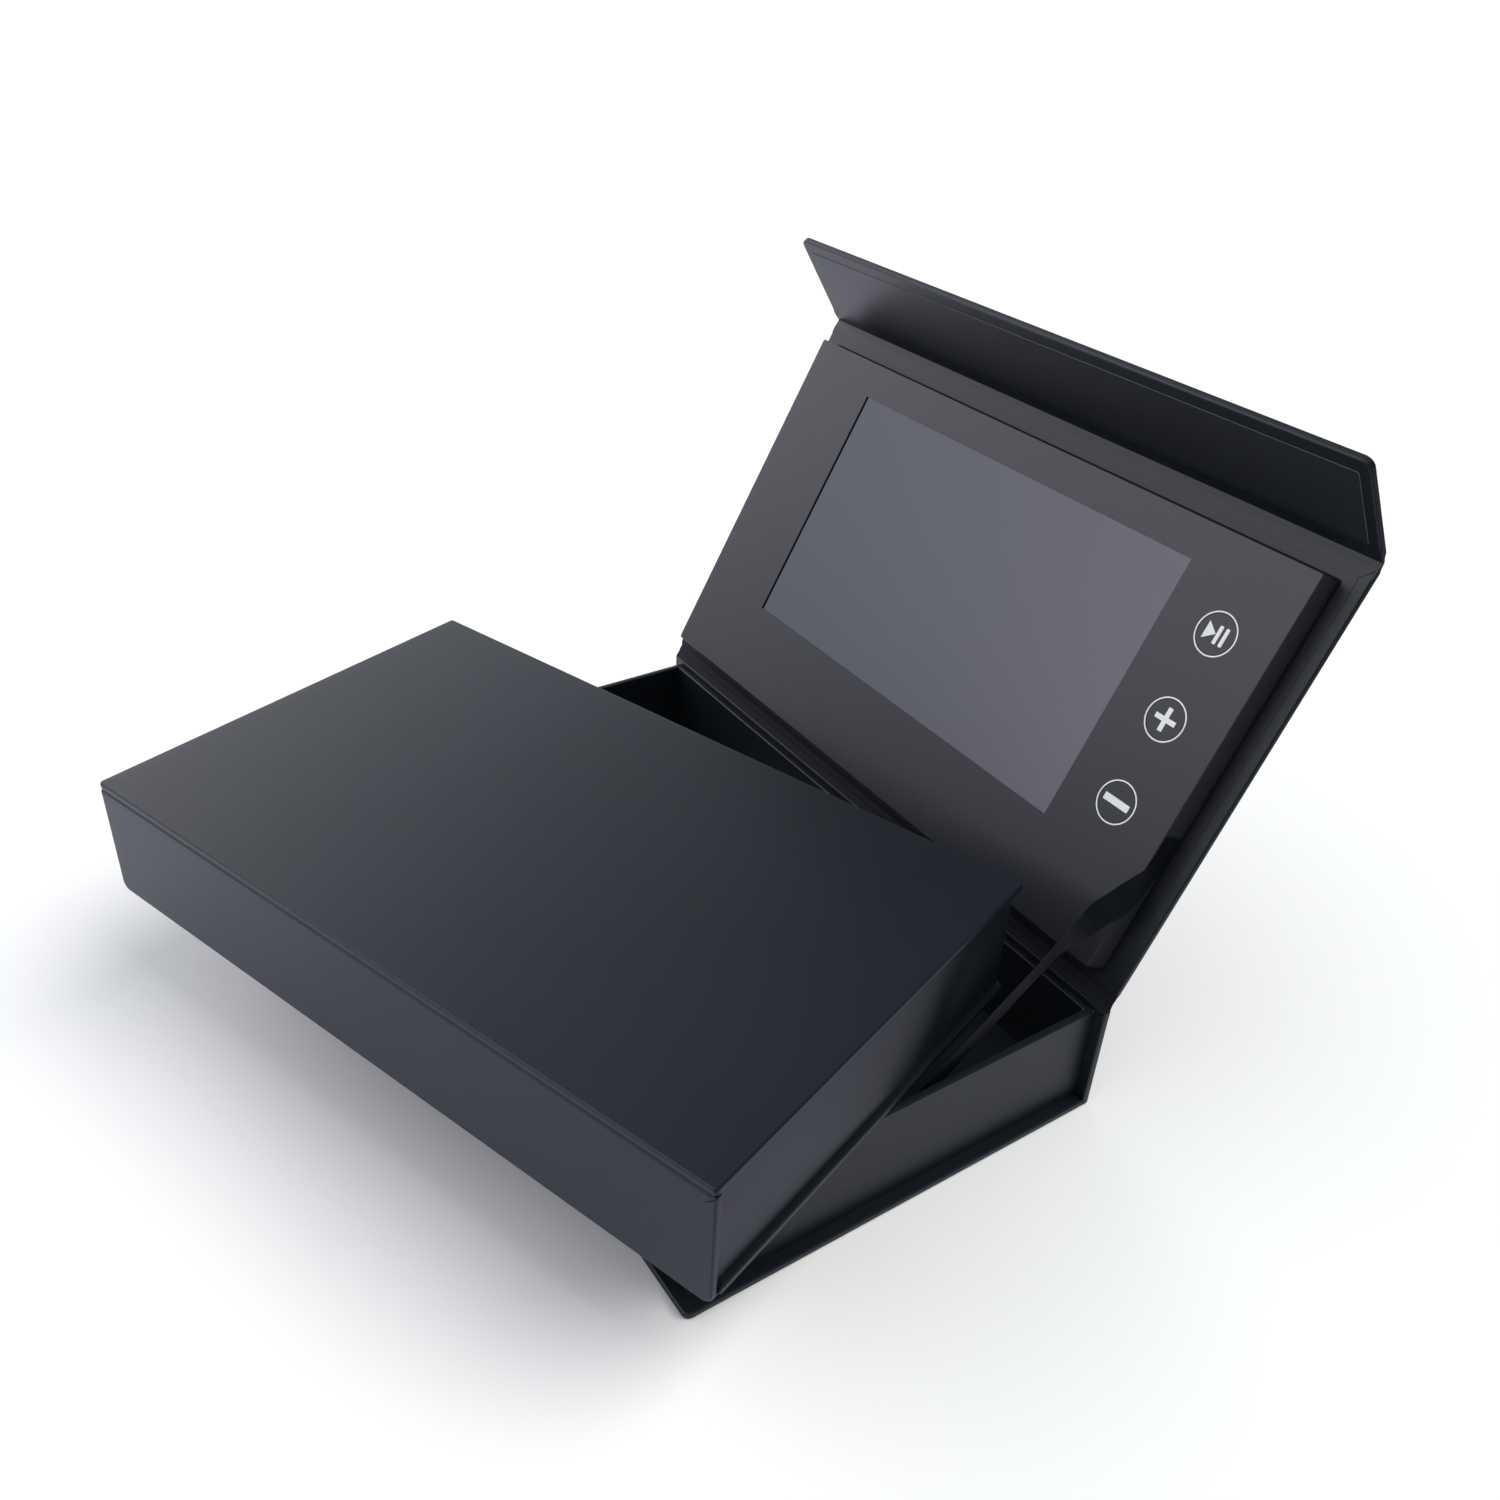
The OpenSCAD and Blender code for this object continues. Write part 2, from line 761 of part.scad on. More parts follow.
module flap_magnets() {
    color("silver") on_flap() for (side = [-1, 1])
        translate([side * magnet_x, magnet_s, half_t - paper_t - magnet_t])
            cylinder(d = magnet_d, h = magnet_t);
}

// Inner box: bottom, front and top boards round a tray

module box_bottom_board() {
    color(grey_board) on_box() translate([0, box_bottom_y, 0]) core(box_w, box_bottom_d);
}

module box_bottom_wrap() {
    color(wrap_black) on_box() {
        translate([0, box_bottom_y, 0]) wrap(box_w, box_bottom_d, box_recess + turn_in);
        translate([0, wrap_t, 0]) cube([box_w, box_groove + fuse, 2 * paper_t]);
    }
}

// The front board stands with its outer face at the box's front
module on_box_front() {
    on_box() translate([0, wrap_t, 0]) rotate([90, 0, 0]) children();
}

module box_front_board() {
    color(grey_board) on_box_front() core(box_w, seam_z);
}

module box_front_wrap() {
    color(wrap_black) {
        on_box_front() wrap_from_below(box_w, seam_z);
        on_box() translate([corner_r, 0, seam_z - fuse])
            cube([box_w - 2 * corner_r, paper_t, box_seam / 2 + fuse]);
        on_box() translate([box_w / 2, 0, box_hinge_z]) rod(seam_r, box_w - 2 * corner_r);
    }
}

module in_box_tray(z) {
    on_box() translate([box_recess, box_y0, z]) children();
}

module box_tray_floor() {
    color(grey_board) in_box_tray(wrap_t) translate([paper_t, paper_t, 0])
        cube([box_tray_w - 2 * paper_t, box_tray_d - 2 * paper_t, board_t]);
}

module box_front_wall() {
    color(grey_board) in_box_tray(box_wall_z0) translate([paper_t, paper_t, 0])
        long_wall(box_tray_w - 2 * paper_t, box_wall_h);
}

module box_rear_wall() {
    color(grey_board) in_box_tray(box_wall_z0) translate([paper_t, box_tray_d - skin, 0])
        long_wall(box_tray_w - 2 * paper_t, box_wall_h);
}

module box_left_wall() {
    color(grey_board) in_box_tray(box_wall_z0) translate([paper_t, skin, 0])
        side_wall(box_tray_d - 2 * skin, box_wall_h);
}

module box_right_wall() {
    color(grey_board) in_box_tray(box_wall_z0) translate([box_tray_w - skin, skin, 0])
        side_wall(box_tray_d - 2 * skin, box_wall_h);
}

module box_tray_wrap() {
    color(wrap_black) in_box_tray(wrap_t) rim_paper(box_tray_w, box_tray_d, box_wall_z1 - wrap_t, rim_turn);
}

module box_tray_liner() {
    color(lining_black) in_box_tray(box_wall_z0) translate([skin, skin, 0])
        tray_paper(box_tray_w - 2 * skin, box_tray_d - 2 * skin, box_wall_h - rim_turn);
}

// The top board lies face down on the tray: its lining is underneath
module on_box_top() {
    on_box() translate([0, 0, box_h]) mirror([0, 0, 1]) children();
}

module box_top_board() {
    color(grey_board) on_box_top() core(box_w, box_d);
}

module box_top_wrap() {
    color(wrap_black) on_box_top() wrap(box_w, box_d, turn_in);
}

module box_top_lining() {
    color(lining_black) on_box_top() lining(box_w, box_d, turn_in);
}

base_board();
base_wrap();
spine_board();
spine_wrap();
tray_floor();
tray_front_wall();
tray_rear_wall();
tray_left_wall();
tray_right_wall();
tray_wrap();
tray_liner();
catch_discs();
switch_magnet();
stay_ribbon_lower();
lid_board();
lid_wrap();
lid_lining();
stay_ribbon_upper();
panel_core();
panel_card();
panel_wrap();
lcd_glass();
lcd_backlight();
backlight_pads();
main_board();
battery();
battery_lead();
speaker();
speaker_cable();
key_board();
key_switches();
key_cable();
display_cable();
usb_board();
usb_socket();
usb_cable();
reed_switch();
play_button();
plus_button();
minus_button();
flap_board();
flap_wrap();
flap_lining();
flap_magnets();
box_bottom_board();
box_bottom_wrap();
box_front_board();
box_front_wrap();
box_tray_floor();
box_front_wall();
box_rear_wall();
box_left_wall();
box_right_wall();
box_tray_wrap();
box_tray_liner();
box_top_board();
box_top_wrap();
box_top_lining();
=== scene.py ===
# %% [markdown]
# # A presentation box with a screen in its lid
# The object is a rigid cardboard box covered in black laminated paper. A cover of four boards, base, spine, lid
# and flap, folds round a tray, a raised panel with a small screen sits in the lid, and a second box lies askew on
# the tray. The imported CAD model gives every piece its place. Here each covered board gets the soft edges that
# paper gives it, and the folds, the ribbon, the screen and the printed signs are modelled and coloured.

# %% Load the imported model
import math

import bmesh
import bpy
from mathutils import Matrix, Vector


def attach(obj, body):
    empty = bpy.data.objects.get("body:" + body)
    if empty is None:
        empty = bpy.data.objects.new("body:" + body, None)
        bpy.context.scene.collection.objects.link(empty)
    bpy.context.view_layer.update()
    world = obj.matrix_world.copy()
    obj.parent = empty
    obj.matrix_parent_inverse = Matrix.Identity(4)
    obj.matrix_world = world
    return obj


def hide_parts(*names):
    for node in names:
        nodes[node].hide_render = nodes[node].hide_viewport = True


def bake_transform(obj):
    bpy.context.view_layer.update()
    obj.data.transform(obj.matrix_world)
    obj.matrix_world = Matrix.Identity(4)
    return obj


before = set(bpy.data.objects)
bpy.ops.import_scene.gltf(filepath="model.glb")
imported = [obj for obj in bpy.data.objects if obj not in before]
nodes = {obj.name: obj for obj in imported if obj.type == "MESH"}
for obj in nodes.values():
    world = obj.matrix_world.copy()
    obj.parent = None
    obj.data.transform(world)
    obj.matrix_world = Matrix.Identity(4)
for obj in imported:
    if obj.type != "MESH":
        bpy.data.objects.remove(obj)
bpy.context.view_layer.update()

# %% [markdown]
# The sizes are those of the real box, in millimetres, and each place is a matrix. The lid, the flap and the inner
# box each have a frame of their own, so a board can be made flat and then laid into the right frame. Blender works
# in metres, so one last scale takes every mesh there.

# %% Sizes and frames
MM = 0.001
COVER_W, BASE_D = 245.0, 146.0
BOARD = 2.4
HINGE_Z, CREASE = 41.4, 2.8
LID_ANGLE, LID_D = 61.4, 144.9
FLAP_FOLD, FLAP_L = 61.3, 38.6
RIM_Z = 36.8
TURN_IN = 3.6
EDGE = 0.62


def turn(angle, axis):
    return Matrix.Rotation(math.radians(angle), 4, axis)


def shift(x, y, z):
    return Matrix.Translation((x, y, z))


IN_LID = shift(0, BASE_D / 2, HINGE_Z) @ turn(LID_ANGLE, "X")
IN_FLAP = IN_LID @ shift(0, LID_D, 0) @ turn(FLAP_FOLD, "X")
IN_BOX = shift(8.3, -51.8, RIM_Z + 0.1) @ turn(19, "Z") @ shift(-118.5, -70.5, 0)
print("fold of the flap at", [round(v, 1) for v in IN_FLAP.translation], "mm")

# %% [markdown]
# A finished mesh is scaled to metres in its place, its faces are turned outwards, and it rides on a body of the
# CAD model. Faces that meet at a shallow angle are shaded smooth, and the rest keep a crisp edge. Weighted normals
# keep a large flat face flat up to its rounded edge, where plain smooth shading would cloud it.


# %% Finish a piece
def finish_piece(name, bm, body, material, place=Matrix.Identity(4), replaced=()):
    bm.transform(Matrix.Scale(MM, 4) @ place)
    bmesh.ops.recalc_face_normals(bm, faces=bm.faces)
    mesh = bpy.data.meshes.new(name)
    bm.to_mesh(mesh)
    bm.free()
    mesh.shade_smooth()
    mesh.set_sharp_from_angle(angle=math.radians(38))
    piece = bpy.data.objects.new(name, mesh)
    bpy.context.scene.collection.objects.link(piece)
    for each in material if isinstance(material, list) else [material]:
        mesh.materials.append(each)
    if isinstance(body, str):
        piece.modifiers.new("Flat faces stay flat", "WEIGHTED_NORMAL").keep_sharp = True
        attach(piece, body)
    if replaced:
        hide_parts(*replaced)
    print(f"{name}: {len(mesh.polygons)} faces")
    return piece


# %% [markdown]
# Colours are written as sRGB hex values, as one would pick them from a picture, and one function turns them into
# the linear values that a shader needs. Another adds a node with its settings and its links. The small ones below
# it stand for what comes back in every material: a ramp between two numbers, a mix of two colours, a noise whose
# blotches have a size in millimetres.


# %% Colours and nodes
def linear(hex_colour):
    parts = [int(hex_colour[i:i + 2], 16) / 255 for i in (1, 3, 5)]
    return tuple(c / 12.92 if c <= 0.04045 else ((c + 0.055) / 1.055) ** 2.4 for c in parts) + (1.0,)


def add(tree, kind, inputs=None, **settings):
    node = tree.nodes.new(kind)
    for key, value in settings.items():
        setattr(node, key, value)
    for socket, value in (inputs or {}).items():
        if isinstance(value, bpy.types.NodeSocket):
            tree.links.new(value, node.inputs[socket])
        else:
            node.inputs[socket].default_value = value
    return node


def start_material(name, **sockets):
    material = bpy.data.materials.new(name)
    material.use_nodes = True
    tree = material.node_tree
    tree.nodes.clear()
    shader = add(tree, "ShaderNodeBsdfPrincipled", {k.replace("_", " "): v for k, v in sockets.items()})
    add(tree, "ShaderNodeOutputMaterial", {"Surface": shader.outputs[0]})
    return material, tree, shader


def feed(tree, node, sources):
    """Links each output to the input it is named for."""
    for socket, source in sources.items():
        tree.links.new(source, node.inputs[socket])


def ramp(tree, value, start, end, low=0.0, high=1.0, **settings):
    """A value that runs from low to high while the given one runs from start to end."""
    limits = {"From Min": start, "From Max": end, "To Min": low, "To Max": high}
    return add(tree, "ShaderNodeMapRange", {"Value": value, **limits}, **settings).outputs[0]


def blend_colours(tree, factor, dark, light):
    mix = add(tree, "ShaderNodeMix", {"Factor": factor}, data_type="RGBA")
    mix.inputs[6].default_value, mix.inputs[7].default_value = linear(dark), linear(light)
    return mix.outputs[2]


def noise(tree, place, size, detail, **inputs):
    """Noise whose blotches are about this many millimetres across, in a scene measured in metres."""
    sockets = {"Vector": place, "Scale": 1 / (size * MM), "Detail": detail, **inputs}
    return add(tree, "ShaderNodeTexNoise", sockets).outputs["Fac"]


def object_place(tree):
    return add(tree, "ShaderNodeTexCoord").outputs["Object"]


# %% [markdown]
# The cover is wood-free art paper, printed solid black and laminated with a matt film. Up close the film has a
# fine tooth, and the glue beneath lets the paper follow the board in a very slight wave. The gloss is broad and
# soft, so the surface goes from near black to mid grey with what it mirrors.


# %% Laminated paper
CLOUD, WAVE, TOOTH = 60, 26, 0.5  # millimetres across: tone of the print, wave of the glue, tooth of the film
TOOTH_DEEP = 0.008


def laminated_paper(name, dark, light, gloss, wave_height=0.05):
    material, tree, shader = start_material(name, IOR=1.5)
    place = object_place(tree)
    tooth = noise(tree, place, TOOTH, 4.0, Roughness=0.6)
    low = add(tree, "ShaderNodeBump", {"Height": noise(tree, place, WAVE, 1.0), "Strength": 1.0,
                                       "Distance": wave_height * MM})
    fine = add(tree, "ShaderNodeBump", {"Height": tooth, "Strength": 0.3, "Distance": TOOTH_DEEP * MM,
                                        "Normal": low.outputs[0]})
    feed(tree, shader, {
        "Base Color": blend_colours(tree, noise(tree, place, CLOUD, 2.0), dark, light),
        "Roughness": ramp(tree, tooth, 0.3, 0.7, gloss - 0.04, gloss + 0.05),
        "Normal": fine.outputs[0]})
    return material


# Near black with a cool cast, and a broad soft sheen that carries the room in one slow gradient
cover_paper = laminated_paper("Matt laminated black paper", "#12181d", "#181e23", 0.40)
# A touch more neutral than the cover, so the inset sheet reads as a second paper
lining_paper = laminated_paper("Matt laminated lining paper", "#14171d", "#191c22", 0.40)
# A lighter copy of the lining paper, painted light that lifts the dimly lit inside of the flap from the lid beside it
flap_lining_paper_painted_lighter = laminated_paper("Matt laminated lining paper painted lighter for the flap", "#1f2228", "#26292e", 0.40)
# Lighter and glossier, so the raised face looks smoother than the box round it
panel_paper = laminated_paper("Matt laminated panel paper", "#24262b", "#2a2c31", 0.30, 0.03)
print("paper materials:", cover_paper.name, "/", panel_paper.name)

# %% [markdown]
# What lies inside still gets its own finish, because it shows in a cut or when a piece is hidden: grey board,
# black card, a green circuit board, a foil battery, flat cables and small metal parts. Each is the plain
# material under its common name, with the grain or the fibres that it has.


# %% Materials of the inside
def plain_material(name, dark, light, rough, grain_mm, metallic=0.0, bump_mm=0.01, **sockets):
    material, tree, shader = start_material(name, Metallic=metallic, **sockets)
    grain = noise(tree, object_place(tree), grain_mm, 4.0)
    bump = add(tree, "ShaderNodeBump", {"Height": grain, "Strength": 0.4, "Distance": bump_mm * MM})
    feed(tree, shader, {
        "Base Color": blend_colours(tree, grain, dark, light),
        "Roughness": ramp(tree, grain, 0.0, 1.0, rough - 0.05, rough + 0.05),
        "Normal": bump.outputs[0]})
    return material


# Warm, dull and fibrous: the raw core of every board
grey_board = plain_material("Grey board", "#7b7872", "#97938b", 0.85, 0.6, bump_mm=0.03)
# Dull black with short fibres and no sheen
black_card = plain_material("Black card", "#141518", "#1d1f22", 0.7, 0.5, bump_mm=0.02)
# Deep green with a slight gloss, the one strong colour inside
circuit = plain_material("Green solder mask", "#0f4a2a", "#17603a", 0.4, 0.4)
# Silvery and faintly uneven, with a soft metal sheen
foil = plain_material("Aluminium laminate pouch", "#a9abae", "#bcbec0", 0.35, 1.2, 0.9)
# A bright cool grey for the screen's back and the socket
stamped = plain_material("Stamped tinned steel", "#b0b1b3", "#c4c5c7", 0.32, 0.3, 1.0)
# A warmer and sharper shine than the steel has
magnet_metal = plain_material("Nickel plated neodymium", "#b9b8b4", "#cbcac6", 0.25, 0.3, 1.0)
# Dark grey with fine pores that swallow the light
foam = plain_material("Closed cell foam", "#2c2c2e", "#3a3a3c", 0.9, 0.3, bump_mm=0.05)
# Smooth black with a faint broad shine
moulded = plain_material("Moulded ABS", "#17181a", "#202124", 0.5, 0.15)
# Pale and faintly glossy, a light band across the dark inside
flat_cable = plain_material("Polyester flat cable", "#cfcfc6", "#dcdcd4", 0.45, 0.4)
# Amber and glossy, told at once from the pale cables
polyimide = plain_material("Polyimide flexible circuit", "#a8662a", "#bb7634", 0.4, 0.3)
# Bright red, which picks out the lead of the battery
red_wire = plain_material("Red PVC insulation", "#a01622", "#b51d2a", 0.4, 0.2)
# Pale green and shiny, a small tube of glass
reed_glass = plain_material("Reed switch glass", "#8fa3a1", "#9fb2b0", 0.15, 0.5)
# A light grey line round the lining of the flap: the grey core of the cut sheet, made lighter as a painted highlight
# on its edge
cut_edge_with_highlight = plain_material("Grey core of cut art paper with painted highlight", "#5e6064", "#7c7e82", 0.8, 0.3)
# The deepest black of the papers and without gloss: painted shade, so the hinge reads as a line of shadow
hinge_shade_paper = plain_material("Black hinge paper with painted shade", "#080b12", "#0f131b", 0.8, 0.3, IOR=1.45)
# Hardly any light comes back: a painted shadow, a crisp dark line round the foot of the panel
painted_shadow_line = plain_material("Painted shadow line round the panel", "#040405", "#070708", 0.95, 0.3)
print("materials so far:", len(bpy.data.materials))

# %% [markdown]
# A board covered in paper never has a knife edge: the sheet rolls over it with a radius of about half a
# millimetre, and the free corners, folded by hand, are rounder still. One function makes such a board from a cube:
# it bevels the upright edges first, near and far ones by their own radius, then the two rims. Corners beside a
# fold stay square, because the paper runs on there.
#
# An arc in the corner of a large face makes long slivers across it, and a surface that mirrors shows them as faint
# lines. So the face is cut 5 mm inside each edge, and the arcs keep to the narrow strips outside the cuts.


# %% A board with soft edges
CORNER_CUT = 5.0
STEEP = math.radians(60)  # faces that meet at a sharper turn than this form an edge of the board


def block(width, depth, height):
    bm = bmesh.new()
    bmesh.ops.create_cube(bm, size=1)
    bmesh.ops.scale(bm, vec=(width, depth, height), verts=bm.verts)
    bmesh.ops.translate(bm, vec=(width / 2, depth / 2, height / 2), verts=bm.verts)
    return bm


def is_upright(edge, height):
    return abs(edge.verts[0].co.z - edge.verts[1].co.z) > height / 2


def soft_board(size, corners=(0.3, 0.3), rim=EDGE, rim_steps=3):
    width, depth, thickness = size
    bm = block(*size)
    for corner, y in zip(corners, (0, depth)):
        upright = [e for e in bm.edges if is_upright(e, thickness) and abs(e.verts[0].co.y - y) < 0.01]
        bmesh.ops.bevel(bm, geom=upright, offset=corner, segments=7 if corner > 1 else 3, profile=0.5,
                        affect="EDGES", material=-1)
    rims = [e for e in bm.edges if e.calc_face_angle(0) > STEEP]
    bmesh.ops.bevel(bm, geom=rims, offset=rim, segments=rim_steps, profile=0.5, affect="EDGES", material=-1)
    for axis, span in ((Vector((1, 0, 0)), width), (Vector((0, 1, 0)), depth)):
        for cut in (CORNER_CUT, span - CORNER_CUT):
            bmesh.ops.bisect_plane(bm, geom=[*bm.verts, *bm.edges, *bm.faces], plane_co=axis * cut, plane_no=axis)
    return bm


print("edge radius", EDGE, "mm")

# %% [markdown]
# A covered board is two pieces, the grey board and the paper round it. Four of the seven boards form the cover and
# are made here. The other three belong to the inner box and come with it.

# %% Covered boards
PAPER = 0.2


def covered_board(name, body, size, place, corners):
    """The paper skin of a board, and the grey board in it. Both stand for the CAD nodes of the same name."""
    width, depth, thickness = size
    core = soft_board((width - 2 * PAPER, depth - 2 * PAPER, thickness - 2 * PAPER),
                      [max(c - PAPER, 0.2) for c in corners], rim=EDGE - PAPER, rim_steps=2)
    finish_piece(name + "_grey_board", core, body, grey_board, place @ shift(PAPER, PAPER, PAPER),
                 [name + "_board"])
    return finish_piece(name + "_cover", soft_board(size, corners), body, cover_paper, place,
                        [name + "_wrap"])


covered_board("base", "base", (COVER_W, BASE_D - BOARD, BOARD), shift(-COVER_W / 2, -BASE_D / 2, 0), (2.2, 0.4))
covered_board("spine", "base", (COVER_W, HINGE_Z - CREASE, BOARD),
              shift(-COVER_W / 2, BASE_D / 2, 0) @ turn(90, "X"), (0.6, 0.3))
covered_board("lid", "lid", (COVER_W, LID_D - 2 * CREASE, BOARD), IN_LID @ shift(-COVER_W / 2, CREASE, -BOARD / 2),
              (0.3, 0.3))
covered_board("flap", "flap", (COVER_W, FLAP_L - CREASE, BOARD), IN_FLAP @ shift(-COVER_W / 2, CREASE, -BOARD / 2),
              (0.3, 3.0))

# %% [markdown]
# The inside of each board is closed with a second sheet, cut smaller, so that a margin of turned-in cover paper
# shows round it. The sheet stands proud by its own thickness, and its edge catches a fine line of light; on the flap
# that edge also carries a painted highlight.


# %% Lining sheets
LINING_T = 0.4


def lining_sheet(name, body, node, size, place, proud=0.18, paper=lining_paper, edge=None):
    bm = soft_board((size[0], size[1], LINING_T), (0.6, 0.6), rim=0.06, rim_steps=2)
    bmesh.ops.translate(bm, vec=(0, 0, BOARD / 2 + proud - LINING_T), verts=bm.verts)
    bm.normal_update()
    for f in bm.faces:
        f.material_index = 1 if edge and abs(f.normal.z) < 0.8 else 0
    return finish_piece(name, bm, body, [paper, edge] if edge else paper, place, [node])


lining_sheet("lid_lining_sheet", "lid", "lid_lining", (COVER_W - 2 * TURN_IN, LID_D - 2 * CREASE - 2 * TURN_IN),
             IN_LID @ shift(-COVER_W / 2 + TURN_IN, CREASE + TURN_IN, 0))
# The flap's sheet takes the lighter copy of the lining paper, painted light, and an edge with a painted highlight.
lining_sheet("flap_lining_sheet", "flap", "flap_lining", (COVER_W - 2 * TURN_IN, FLAP_L - CREASE - TURN_IN - 4.8),
             IN_FLAP @ shift(-COVER_W / 2 + TURN_IN, CREASE + TURN_IN, 0), 0.18, flap_lining_paper_painted_lighter, cut_edge_with_highlight)

# %% [markdown]
# Between two boards the cover is paper alone, and it is pressed down into the gap. A fold is a groove on the
# outside, and inside it lies nearly level with the boards. Its section is drawn as a middle line with a half
# thickness at each point, smoothed, and the face it encloses is extruded along the fold. The strip belongs to two
# boards at once, and it stays where it is made.


# %% Folds
def smooth_path(points, steps):
    """Points on a curve through the given ones, by the Catmull-Rom rule, with any number of values in each."""
    ends = [points[0], *points, points[-1]]
    found = []
    for i in range(1, len(ends) - 2):
        a, b, c, d = (Vector(p) for p in ends[i - 1:i + 3])
        for k in range(steps):
            t = k / steps
            found.append(0.5 * (2 * b + (c - a) * t + (2 * a - 5 * b + 4 * c - d) * t ** 2
                                + (3 * b - a - 3 * c + d) * t ** 3))
    return [*found, Vector(points[-1])]


def paper_fold(name, middle, width, place=Matrix.Identity(4), paper=cover_paper, steps=4):
    """middle holds (y, z, half thickness) in millimetres, and the fold runs along X."""
    line = smooth_path(middle, steps)
    upper, lower = [], []
    for i, p in enumerate(line):
        ahead, behind = line[min(i + 1, len(line) - 1)], line[max(i - 1, 0)]
        along = Vector((ahead.x - behind.x, ahead.y - behind.y)).normalized()
        upper.append((p.x - along.y * p.z, p.y + along.x * p.z))
        lower.append((p.x + along.y * p.z, p.y - along.x * p.z))
    bm = bmesh.new()
    ring = [bm.verts.new((-width / 2, y, z)) for y, z in upper + lower[::-1]]
    face = bm.faces.new(ring)
    pushed = bmesh.ops.extrude_face_region(bm, geom=[face])
    moved = [v for v in pushed["geom"] if isinstance(v, bmesh.types.BMVert)]
    bmesh.ops.translate(bm, vec=(width, 0, 0), verts=moved)
    bmesh.ops.triangulate(bm, faces=[f for f in bm.faces if len(f.verts) > 4])
    return finish_piece(name, bm, None, paper, place)


def lid_point(s, n, half):
    """A point of the lid's side view, s from the hinge and n in front, as (y, z, half thickness)."""
    p = IN_LID @ Vector((0, s, n))
    return (p.y, p.z, half)


FOLD_W = COVER_W - 0.1
# The hinge paper is the darkest paper: painted shade along the hinge.
hinge_paper = paper_fold("hinge_paper", [
    (71.8, 36.0, 0.9), (71.8, 38.2, 0.95), (71.95, 39.0, 0.7), (72.3, 39.9, 0.42), (72.65, 40.7, 0.32),
    (72.9, 41.5, 0.32), lid_point(0.9, 0.02, 0.32), lid_point(1.8, 0.05, 0.42), lid_point(2.6, 0.2, 0.7),
    lid_point(3.5, 0.32, 0.93), lid_point(5.2, 0.32, 0.93), lid_point(6.7, 0.32, 0.93)], FOLD_W, paper=hinge_shade_paper)
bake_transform(hinge_paper)


def flap_point(s, n, half):
    """The same for the flap, s from its fold."""
    p = IN_FLAP @ Vector((0, s, n))
    return (p.y, p.z, half)


fold_paper = paper_fold("fold_paper", [
    lid_point(LID_D - 5.6, 0.2, 0.95), lid_point(LID_D - 3.4, 0.22, 0.95), lid_point(LID_D - 2.5, 0.35, 0.75),
    lid_point(LID_D - 1.6, 0.45, 0.5), lid_point(LID_D - 0.6, 0.5, 0.36), flap_point(0.6, 0.5, 0.36),
    flap_point(1.6, 0.45, 0.5), flap_point(2.5, 0.35, 0.75), flap_point(3.4, 0.22, 0.95),
    flap_point(5.6, 0.2, 0.95)], FOLD_W)
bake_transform(fold_paper)

# %% [markdown]
# A tray is four boards on a floor board, covered outside, over the rim and part of the way down inside. It starts
# as a block whose top face is inset by the wall's thickness and pushed down to the floor. The upright corners and
# then the rims are bevelled. A thin second sheet lines the inside below the turned-down paper.


# %% Trays
TRAY_FLOOR = 2.2
TURNED_DOWN = 12  # how far the outer paper reaches down inside
SUNK = 0.15  # how far the lining lies inside the wall's face, so that the two papers are nearly level


def open_box(width, depth, height, wall, floor, corner, rim):
    bm = block(width, depth, height)
    top = max(bm.faces, key=lambda f: f.calc_center_median().z)
    bmesh.ops.inset_region(bm, faces=[top], thickness=wall, use_even_offset=True)
    sunk = bmesh.ops.extrude_discrete_faces(bm, faces=[top])["faces"][0]
    bmesh.ops.translate(bm, vec=(0, 0, floor - height), verts=sunk.verts)
    outer = [e for e in bm.edges if is_upright(e, height)]
    bmesh.ops.bevel(bm, geom=outer, offset=corner, segments=4, profile=0.5, affect="EDGES", material=-1)
    rims = [e for e in bm.edges if e.calc_face_angle(0) > STEEP
            and min(v.co.z for v in e.verts) > height - 0.01]
    bmesh.ops.bevel(bm, geom=rims, offset=rim, segments=3, profile=0.5, affect="EDGES", material=-1)
    return bm


def covered_tray(prefix, body, node_prefix, size, place):
    width, depth, height = size
    shell = open_box(width, depth, height, BOARD, TRAY_FLOOR, 0.7, EDGE)
    finish_piece(prefix + "_cover", shell, body, cover_paper, place, [node_prefix + "_wrap"])
    gap = BOARD - SUNK
    liner = open_box(width - 2 * gap, depth - 2 * gap, height - TRAY_FLOOR - TURNED_DOWN, PAPER, PAPER, 0.3, 0.03)
    finish_piece(prefix + "_lining_sheet", liner, body, cover_paper, place @ shift(gap, gap, TRAY_FLOOR - 0.02),
                 [node_prefix + "_liner"])


covered_tray("tray", "base", "tray", (237.2, 139.7, RIM_Z - BOARD), shift(-118.6, -69.1, BOARD))
covered_tray("box_tray", "inner_box", "box_tray", (233.4, 136.8, 35.5), IN_BOX @ shift(1.8, 2.4, 2.4))

# %% [markdown]
# The inner box is a book cover too: bottom, front and top boards round its own tray. The top board turns on a
# narrow seam of paper at the front, which shows as a dark line, and a second groove joins front and bottom.

# %% Inner box
BOX_W, BOX_D = 237.0, 141.0
SEAM_Z, TOP_Z = 37.5, 38.0
BOTTOM_Y = 3.8  # the bottom board starts behind the front one and the groove between them
covered_board("box_bottom", "inner_box", (BOX_W, BOX_D - BOTTOM_Y, BOARD), IN_BOX @ shift(0, BOTTOM_Y, 0), (0.4, 3.0))
covered_board("box_front", "inner_box", (BOX_W, SEAM_Z, BOARD), IN_BOX @ shift(0, BOARD, 0) @ turn(90, "X"),
              (3.0, 0.3))
covered_board("box_top", "inner_box_lid", (BOX_W, BOX_D, BOARD), IN_BOX @ shift(0, 0, TOP_Z), (1.2, 0.9))
lining_sheet("box_top_lining_sheet", "inner_box_lid", "box_top_lining", (BOX_W - 2 * TURN_IN, BOX_D - 2 * TURN_IN),
             IN_BOX @ shift(BOX_W - TURN_IN, TURN_IN, TOP_Z + BOARD / 2) @ turn(180, "Y"), 0.1)
